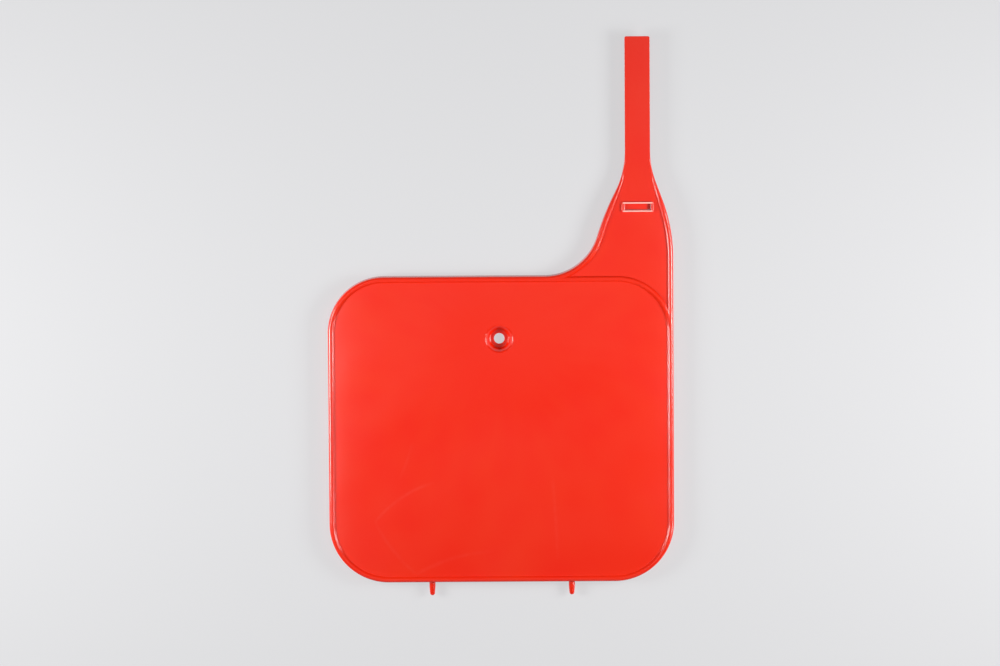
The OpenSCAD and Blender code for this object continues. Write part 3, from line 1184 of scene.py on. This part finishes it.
@dataclass
class GlossyPolypropylene(Finish):
    """Moulded polypropylene with a polished tool finish: a deep, warm red with soft, clear reflections.

    The melt has flowed from the bolt dish, so very faint lighter and darker streaks fan out below it,
    and rub marks of other boards in the same box lie across the lower left.
    """

    name: str = "glossy_polypropylene_red"
    board: NumberBoard = field(default_factory=NumberBoard)
    red: str = "#e11d03"
    streak: str = "#e44418"
    rubbed: str = "#eb8375"
    # Pale colour of the slot frame's bars: partly stress whitening where the strap rubs, partly a painted
    # highlight
    whitened_and_highlight: str = "#fac5ba"
    ior: float = 1.58

    # Roughness over the clouds' levels, and what a full mark adds
    roughness: Span = (0.16, 0.22)
    rough_levels: Span = (0.15, 0.85)
    rough_marks: float = 0.5

    # Streaks of the flow, and how far they and the clouds move the red towards its lighter tone
    clouds: Pattern = Pattern(size=111.1, detail=1.5)
    streaks_per_radian: float = 6.5
    streak_length: float = 25.0
    streak_detail: float = 0.5
    streak_fade: Span = (15.0, 90.0)
    streak_share: float = 0.45
    tint_levels: Span = (0.25, 0.75)
    tint_share: float = 0.2

    # Rub marks on the face, which the patches break up
    patches: Pattern = Pattern(size=4.545, detail=3.0)
    patch_levels: Span = (0.15, 0.6)
    scuff_end: float = 2.5
    scuffs: tuple[Scuff, ...] = (
        Scuff((-86.1, -62.7), (-68.4, -46.4), (-46.7, -36.2), width=1.8, strength=0.045),
        Scuff((-86.1, -62.7), (-71.8, -85.1), (-58.2, -98.7), width=1.9, strength=0.028),
        Scuff((-58.2, -98.7), (-31.0, -87.2), (-7.2, -83.1), width=2.1, strength=0.028),
        Scuff((-69.1, -32.8), (-64.3, -21.2), (-60.3, -9.0), width=1.7, strength=0.028),
        Scuff((34.2, -32.8), (36.7, -60.0), (38.3, -88.5), width=2.2, strength=0.035),
    )

    # Whitened bars of the slot's frame, partly stress whitening and partly a painted highlight on their
    # crests, and the depths below its front at which that starts and is full
    cross_rub_and_highlight: BarRubAndHighlight = BarRubAndHighlight(outside=0.35, inside=0.45, soft=0.3, past=1.2, end_soft=0.6, share=0.9)
    side_rub_and_highlight: BarRubAndHighlight = BarRubAndHighlight(outside=0.5, inside=0.5, soft=0.35, past=0.8, end_soft=0.5, share=0.072)
    rub_and_highlight_depth: Span = (0.7, 0.2)

    # Relief: the polish, the cooled moulding's swell, the sink marks, and the falls to the side beads
    waves: Pattern = Pattern(size=9.09, detail=2.0, height=0.020)
    grain: Pattern = Pattern(size=0.625, detail=2.0, height=0.0012)
    swell: Pattern = Pattern(size=62.5, detail=1.0, height=0.7)
    sink_depth: float = 0.003
    sink_end: float = 1.0
    fall_start: float = 4.0
    falls: tuple[SideFall, ...] = (
        SideFall(side=-1, depth=0.75, reach=14.0),
        SideFall(side=1, depth=0.45, reach=12.0),
    )

    def place(self) -> bpy.types.Node:
        """Place on the board in millimetres, counted from the panel's centre.

        Returns:
            The place.
        """
        spot = self.add(Kind.PLACE, {}).outputs["Object"]
        shift = (0, -self.board.plan_shift, 0)
        return self.add(Kind.MAPPING, {}, vector=spot, location=shift, scale=(1 / MM, 1 / MM, 1 / MM))

    def band(self, value: object, low: float, high: float, soft: float) -> bpy.types.Node:
        """Mask that is 1 between two values and fades to 0 outside them.

        Args:
            value: What the mask reads.
            low: Lower end.
            high: Upper end.
            soft: Half the length of each fade.

        Returns:
            The mask.
        """
        rise = self.add(Kind.RANGE, SOFT, value, low - soft, low + soft)
        fall = self.add(Kind.RANGE, SOFT, value, high + soft, high - soft)
        return self.add(Kind.MATH, TIMES, rise, fall)

    def tint(self, plan: object, x: object, y: object, clouds: object) -> bpy.types.Node:
        """Share of the lighter red: streaks of the flow from the bolt dish, mixed into broad clouds.

        Args:
            plan: Place in the plan.
            x: Place along X.
            y: Place along Y.
            clouds: The broad clouds.

        Returns:
            The share.
        """
        source = self.board.dish.centre
        to_x = self.add(Kind.MATH, MINUS, x, source[0])
        to_y = self.add(Kind.MATH, MINUS, source[1], y)
        bearing = self.add(Kind.MATH, BEARING, to_x, to_y)
        away = self.add(Kind.DISTANCE, APART, plan, (*source, 0))
        across = self.add(Kind.MATH, TIMES, bearing, self.streaks_per_radian)
        along = self.add(Kind.MATH, OVER, away, self.streak_length)
        fan = self.add(Kind.COMBINE, {}, across, along)
        streaks = self.add(Kind.NOISE, FLAT, fan, 1.0, self.streak_detail)
        fanned = self.add(Kind.RANGE, {}, away, *self.streak_fade, 0.0, self.streak_share)
        mixed = self.add(Kind.MIX, {}, fanned, clouds, streaks)
        return self.add(Kind.RANGE, {}, mixed, *self.tint_levels, 0.0, self.tint_share)

    def marks(self, place: object, plan: object, x: object, y: object) -> bpy.types.Node:
        """Strength of all rub marks together, broken up into patches.

        Args:
            place: Place in space.
            plan: Place in the plan.
            x: Place along X.
            y: Place along Y.

        Returns:
            The strength.
        """
        total: object = 0.0
        for mark in self.scuffs:
            centre, radius = mark.circle()
            away = self.add(Kind.DISTANCE, APART, plan, (*centre, 0))
            off = self.add(Kind.MATH, UNSIGNED, self.add(Kind.MATH, MINUS, away, radius))
            line = self.add(Kind.RANGE, SOFT, off, mark.width, 0.0)
            for value, axis in ((x, 0), (y, 1)):
                line = self.add(Kind.MATH, TIMES, line, self.band(value, *mark.reach(axis), self.scuff_end))
            total = self.add(Kind.MATH, PLUS, total, self.add(Kind.MATH, TIMES, line, mark.strength))
        patches = self.add(Kind.NOISE, {}, place, 1 / self.patches.size, self.patches.detail)
        patches = self.add(Kind.RANGE, {}, patches, *self.patch_levels)
        return self.add(Kind.MATH, TIMES, total, patches)

    def bar_rub_and_highlight(
        self, rub: BarRubAndHighlight, across: object, wall: float, bar: float, along: object, corner: float
    ) -> bpy.types.Node:
        """Rub and painted highlight on the two bars that lie on either side of the slot.

        Args:
            rub: Where on the bars it lies.
            across: Distance from the slot's middle, across the bars.
            wall: Distance of the slot's wall from its middle.
            bar: The bar's thickness.
            along: Distance from the slot's middle, along the bars.
            corner: Distance of the slot's corner along the bars.

        Returns:
            The share of the pale colour, which is partly stress whitening and partly a painted highlight.
        """
        end = corner + rub.past
        over = self.band(across, wall + rub.outside, wall + bar - rub.inside, rub.soft)
        mask = self.add(Kind.MATH, TIMES, over, self.band(along, -end, end, rub.end_soft))
        return self.add(Kind.MATH, TIMES, mask, rub.share)

    def frame_rub_and_highlight(self, x: object, y: object, z: object) -> bpy.types.Node:
        """Whitening of the slot's frame where the strap is pulled over its bars, together with a painted
        highlight on the bars' crests.

        Args:
            x: Place along X.
            y: Place along Y.
            z: Height.

        Returns:
            The share of the whitened colour.
        """
        buckle = self.board.buckle
        off_x = self.add(Kind.MATH, UNSIGNED, self.add(Kind.MATH, MINUS, x, buckle.arm.strap_middle))
        off_y = self.add(Kind.MATH, UNSIGNED, self.add(Kind.MATH, MINUS, y, buckle.middle_y))
        half_w, half_h = buckle.slot_width / 2, buckle.slot_height / 2
        cross = self.bar_rub_and_highlight(self.cross_rub_and_highlight, off_y, half_h, buckle.cross_bar, off_x, half_w)
        side = self.bar_rub_and_highlight(self.side_rub_and_highlight, off_x, half_w, buckle.side_bar, off_y, half_h)
        raised = self.add(Kind.RANGE, {}, z, *(buckle.front - depth for depth in self.rub_and_highlight_depth))
        return self.add(Kind.MATH, TIMES, self.add(Kind.MATH, LARGER, cross, side), raised)

    def relief(self, place: object, x: object, y: object) -> bpy.types.Node:
        """Height of what the tool and the cooling left on the surface.

        That is the waviness and grain of the tool's polish, sink marks over the strap's teeth, the
        broad swell of the cooled moulding, and a face that falls away towards the side beads.

        Args:
            place: Place in space.
            x: Place along X.
            y: Place along Y.

        Returns:
            The height in millimetres.
        """
        strap = self.board.strap
        last = strap.reach - strap.tooth_start
        first = last - strap.tooth_count * strap.tooth_pitch
        along = self.add(Kind.MATH, MINUS, y, first)
        turn = self.add(Kind.MATH, TIMES, along, 2 * math.pi / strap.tooth_pitch)
        sink = self.add(Kind.MATH, SINE, turn)
        sink = self.add(Kind.MATH, TIMES, sink, self.band(y, first, last, self.sink_end))
        height = self.add(Kind.MATH, TIMES, sink, self.sink_depth)
        for pattern in (self.waves, self.grain, self.swell):
            noise = self.add(Kind.NOISE, {}, place, 1 / pattern.size, pattern.detail)
            part = self.add(Kind.MATH, TIMES, noise, pattern.height)
            height = self.add(Kind.MATH, PLUS, height, part)
        for fall in self.falls:
            inward = self.add(Kind.MATH, TIMES, x, -fall.side)
            inward = self.add(Kind.MATH, PLUS, inward, self.board.panel.side - self.fall_start)
            share = self.add(Kind.MATH, POWER, math.e, self.add(Kind.MATH, OVER, inward, -fall.reach))
            height = self.add(Kind.MATH, MINUS, height, self.add(Kind.MATH, TIMES, share, fall.depth))
        return height

    def build(self) -> bpy.types.Material:
        """Fill the node tree.

        Returns:
            The finished material.
        """
        place = self.place()
        x, y, z = self.add(Kind.SPLIT, {}, place).outputs
        plan = self.add(Kind.COMBINE, {}, x, y)
        clouds = self.add(Kind.NOISE, {}, place, 1 / self.clouds.size, self.clouds.detail)
        marks = self.marks(place, plan, x, y)
        tint = self.tint(plan, x, y, clouds)
        red = self.add(Kind.MIX, COLOUR, tint, linear(self.red), linear(self.streak))
        worn = self.add(Kind.MIX, COLOUR, marks, red, linear(self.rubbed))
        # Pale bars of the slot's frame: partly stress whitening, partly a painted highlight
        colour = self.add(Kind.MIX, COLOUR, self.frame_rub_and_highlight(x, y, z), worn, linear(self.whitened_and_highlight))
        rough = self.add(Kind.RANGE, {}, clouds, *self.rough_levels, *self.roughness)
        rough = self.add(Kind.MATH, PLUS, rough, self.add(Kind.MATH, TIMES, marks, self.rough_marks))
        bump = self.add(Kind.BUMP, {}, strength=1.0, distance=MM, height=self.relief(place, x, y))
        surface = self.add(Kind.SURFACE, {}, base_color=colour, roughness=rough, ior=self.ior, normal=bump)
        self.add(Kind.OUTPUT, {}, surface)
        return self.material


@dataclass
class StudioPaper(Finish):
    """Matt pale grey backdrop paper, whose tone is kept even to the eye and in reflections."""

    name: str = "backdrop_paper"
    shade: str = "#d3d3d4"
    tone: str = "#dedee0"
    roughness: float = 0.9
    evenness: float = 0.75

    def build(self) -> bpy.types.Material:
        """Fill the node tree.

        Returns:
            The finished material.
        """
        shade = linear(self.shade)
        paper = self.add(Kind.SURFACE, {}, base_color=shade, roughness=self.roughness, specular_ior_level=0.0)
        even = self.add(Kind.GLOW, {}, linear(self.tone))
        rays = self.add(Kind.RAYS, {}).outputs
        seen = self.add(Kind.MATH, PLUS, rays["Is Camera Ray"], rays["Is Glossy Ray"])
        seen = self.add(Kind.MATH, PLUS_UP_TO_ONE, seen, rays["Is Transmission Ray"])
        share = self.add(Kind.MATH, TIMES, seen, self.evenness)
        self.add(Kind.OUTPUT, {}, self.add(Kind.MIX_SURFACES, {}, share, paper, even))
        return self.material


# The studio, in metres


@dataclass(frozen=True)
class Softbox:
    """One soft lamp: its bearing round the board, its angle off the face's axis, and its size.

    What isn't given is that of the small near lamps, which draw the light lines on the bead.
    """

    name: str
    bearing: float
    width: float
    power: float
    off_axis: float = 62.0
    distance: float = 0.8
    length: float = 0.26
    spread: float = 120.0

    def build(self, target: Vector) -> None:
        """Hang the lamp and turn it to the target.

        Args:
            target: Place that it shines at.
        """
        turn, tilt = math.radians(self.bearing), math.radians(self.off_axis)
        across = math.sin(tilt)
        way = Vector((across * math.cos(turn), across * math.sin(turn), math.cos(tilt)))
        lamp = bpy.data.lights.new(self.name, "AREA")
        lamp.shape = "RECTANGLE"
        lamp.size = self.width
        lamp.size_y = self.length
        lamp.energy = self.power
        lamp.spread = math.radians(self.spread)
        obj = bpy.data.objects.new(self.name, lamp)
        bpy.context.scene.collection.objects.link(obj)
        obj.location = target + way * self.distance
        obj.rotation_euler = (-way).to_track_quat("-Z", "Y").to_euler()


@dataclass
class Studio:
    """Pale floor, soft lamps, plain world and the camera, which looks at the target.

    Lamps and world together light the face so that a colour renders about as it is written.
    """

    target: Point = (-0.00044, -0.01055, 0.008)
    distance: float = 4.0
    pitch: float = 5.0
    roll: float = -0.35
    frame_width: float = 0.6784
    film_width: float = 36.0
    far_limit: float = 50.0
    floor_size: float = 6.0
    world_level: float = 0.116
    near_lamps: tuple[Softbox, ...] = (
        Softbox("lamp_left", bearing=185, width=0.23, power=2.42),
        Softbox("lamp_upper_left", bearing=168, width=0.09, power=0.62),
        Softbox("lamp_right", bearing=358, width=0.16, power=1.86),
        Softbox("lamp_lower_right", bearing=338, width=0.08, power=0.66),
        Softbox("lamp_upper_right", bearing=12, width=0.09, power=0.58),
    )
    broad_lamps: tuple[Softbox, ...] = (
        Softbox("fill_low", 270, 1.2, 1.16, off_axis=50, distance=1.5, length=0.5, spread=180),
        Softbox("wing_left", 180, 1.0, 3.9, off_axis=14, distance=3.0, length=0.7, spread=180),
        Softbox("wing_right", 0, 1.0, 1.4, off_axis=14, distance=3.0, length=0.7, spread=180),
        Softbox("ceiling_panel", 90, 3.0, 7, off_axis=9, distance=5.0, length=2.6, spread=180),
    )

    def floor(self) -> None:
        """Lay the broad floor under the board."""
        bpy.ops.object.select_all(action="DESELECT")
        bpy.ops.mesh.primitive_plane_add(size=self.floor_size, location=(0, 0, 0))
        floor = bpy.context.active_object
        floor.name = "studio_floor"
        floor.data.materials.append(StudioPaper().build())

    def world(self) -> None:
        """Light the board evenly and plainly from all round."""
        world = bpy.data.worlds.new("studio_world")
        world.use_nodes = True
        ground = world.node_tree.nodes["Background"]
        ground.inputs["Color"].default_value = (1, 1, 1, 1)
        ground.inputs["Strength"].default_value = self.world_level
        bpy.context.scene.world = world

    def camera(self) -> None:
        """Set up a long lens nearly straight above the face."""
        lens = bpy.data.cameras.new("camera")
        lens.sensor_width = self.film_width
        lens.lens = self.film_width * self.distance / self.frame_width
        lens.clip_end = self.far_limit
        obj = bpy.data.objects.new("camera", lens)
        bpy.context.scene.collection.objects.link(obj)
        tilt = math.radians(self.pitch)
        way = Vector((0, math.sin(tilt), math.cos(tilt)))
        obj.location = Vector(self.target) + self.distance * way
        obj.rotation_mode = "XYZ"
        look = Matrix.Rotation(-tilt, 4, "X") @ Matrix.Rotation(math.radians(self.roll), 4, "Z")
        obj.rotation_euler = look.to_euler()
        bpy.context.scene.camera = obj

    def build(self) -> None:
        """Set up everything round the board."""
        self.floor()
        self.world()
        for lamp in (*self.near_lamps, *self.broad_lamps):
            lamp.build(Vector(self.target))
        self.camera()
        bpy.context.scene.view_settings.view_transform = "Standard"


def main() -> None:
    """Build the board, dress it, and set up the studio."""
    logging.basicConfig(level=logging.INFO, format="%(name)s: %(message)s")
    board = NumberBoard()
    piece = board.build()
    piece.data.materials.clear()
    piece.data.materials.append(GlossyPolypropylene(board=board).build())
    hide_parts("number_board")
    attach(piece, "root")
    log.info("%s: %d faces", piece.name, len(piece.data.polygons))
    Studio().build()


if __name__ == "__main__":
    main()
